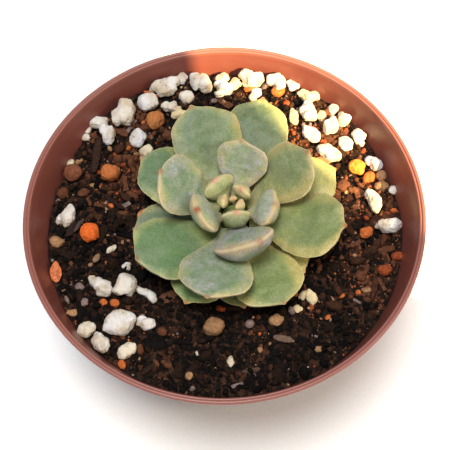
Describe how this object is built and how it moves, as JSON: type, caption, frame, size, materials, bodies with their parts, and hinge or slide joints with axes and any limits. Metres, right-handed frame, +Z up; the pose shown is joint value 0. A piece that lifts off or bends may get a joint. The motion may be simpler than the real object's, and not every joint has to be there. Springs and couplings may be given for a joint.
{
  "type": "potted succulent",
  "caption": "Compact rosette succulent with thick pointed leaves, rooted in gritty soil topped with pale grains in a low tapered plastic nursery pot.",
  "frame": {"origin": "centre of the pot's base, on the plane that the pot stands on", "axes": "+Z up along the pot's axis; +Y towards the banked-up side of the soil; +X to the right of that"},
  "size_m": [0.09, 0.09, 0.0596],
  "materials": {
    "pot_plastic": "terracotta-brown moulded polypropylene, satin",
    "potting_soil": "dark gritty mix of peat, bark crumbs and grit; stands for potting soil",
    "stem": "short green fleshy stem",
    "leaf": "grey-green fleshy leaf with a powdery bloom; stands for leaf flesh",
    "leaf_young": "pale young leaf with a pink tip; stands for leaf flesh",
    "withered_leaf": "dry papery orange-brown leaf",
    "perlite": "white expanded perlite grain, chalky",
    "baked_clay": "orange baked clay grain, matt",
    "stone": "tan-brown pebble"
  },
  "bodies": {
    "root": {"pot": "pot_plastic", "soil": "potting_soil", "stem": "stem", "leaf_01": "leaf_young", "leaf_02": "leaf_young", "leaf_03": "leaf_young", "leaf_04": "leaf_young", "leaf_05": "leaf_young", "leaf_06": "leaf_young", "leaf_07": "leaf", "leaf_08": "leaf", "leaf_09": "leaf", "leaf_10": "leaf", "leaf_11": "leaf", "leaf_12": "leaf", "leaf_13": "leaf", "leaf_14": "leaf", "leaf_15": "leaf", "leaf_16": "leaf", "leaf_17": "leaf", "leaf_18": "leaf", "leaf_19": "leaf", "leaf_20": "leaf", "leaf_21": "leaf", "leaf_22": "leaf", "leaf_23": "leaf", "leaf_24": "leaf", "leaf_25": "leaf", "leaf_26": "leaf", "withered_leaf": "withered_leaf", "perlite_01": "perlite", "perlite_02": "perlite", "perlite_03": "perlite", "perlite_04": "perlite", "perlite_05": "perlite", "perlite_06": "perlite", "perlite_07": "perlite", "perlite_08": "perlite", "perlite_09": "perlite", "perlite_10": "perlite", "perlite_11": "perlite", "perlite_12": "perlite", "perlite_13": "perlite", "perlite_14": "perlite", "perlite_15": "perlite", "perlite_16": "perlite", "perlite_17": "perlite", "perlite_18": "perlite", "perlite_19": "perlite", "perlite_20": "perlite", "perlite_21": "perlite", "perlite_22": "perlite", "perlite_23": "perlite", "perlite_24": "perlite", "clay_01": "baked_clay", "clay_02": "baked_clay", "clay_03": "baked_clay", "clay_04": "baked_clay", "clay_05": "baked_clay", "stone_01": "stone"}
  },
  "joints": []
}
